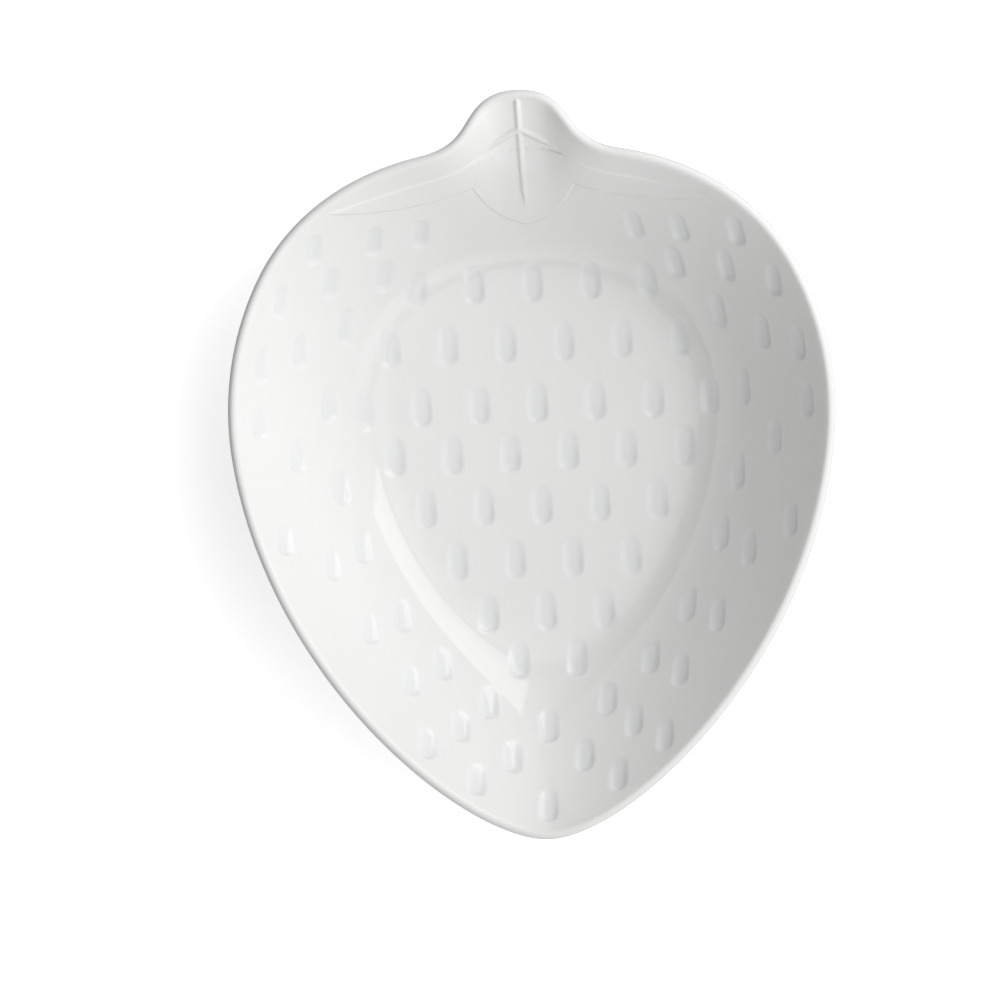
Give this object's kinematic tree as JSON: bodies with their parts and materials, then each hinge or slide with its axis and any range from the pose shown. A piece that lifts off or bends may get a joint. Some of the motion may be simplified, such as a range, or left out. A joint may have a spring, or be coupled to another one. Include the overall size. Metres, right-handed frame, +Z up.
{
  "type": "strawberry bowl",
  "caption": "White glazed porcelain serving bowl shaped like a strawberry, with a stem tab, low relief leaves, pressed seed dimples inside and an unglazed foot ring.",
  "frame": {"origin": "on the table under the middle of the bowl's length and width, level with the underside of the foot ring", "axes": "+Z up out of the bowl's mouth, +Y towards the stem tab, -Y towards the strawberry's tip, +X to the right of the tab"},
  "size_m": [0.2262, 0.2796, 0.0649],
  "materials": {
    "glazed_porcelain": "clear glossy glaze over white porcelain",
    "bare_porcelain": "unglazed fired porcelain, fine matte grain"
  },
  "bodies": {
    "root": {"bowl_body": "glazed_porcelain", "foot_ring": "bare_porcelain"}
  },
  "joints": []
}
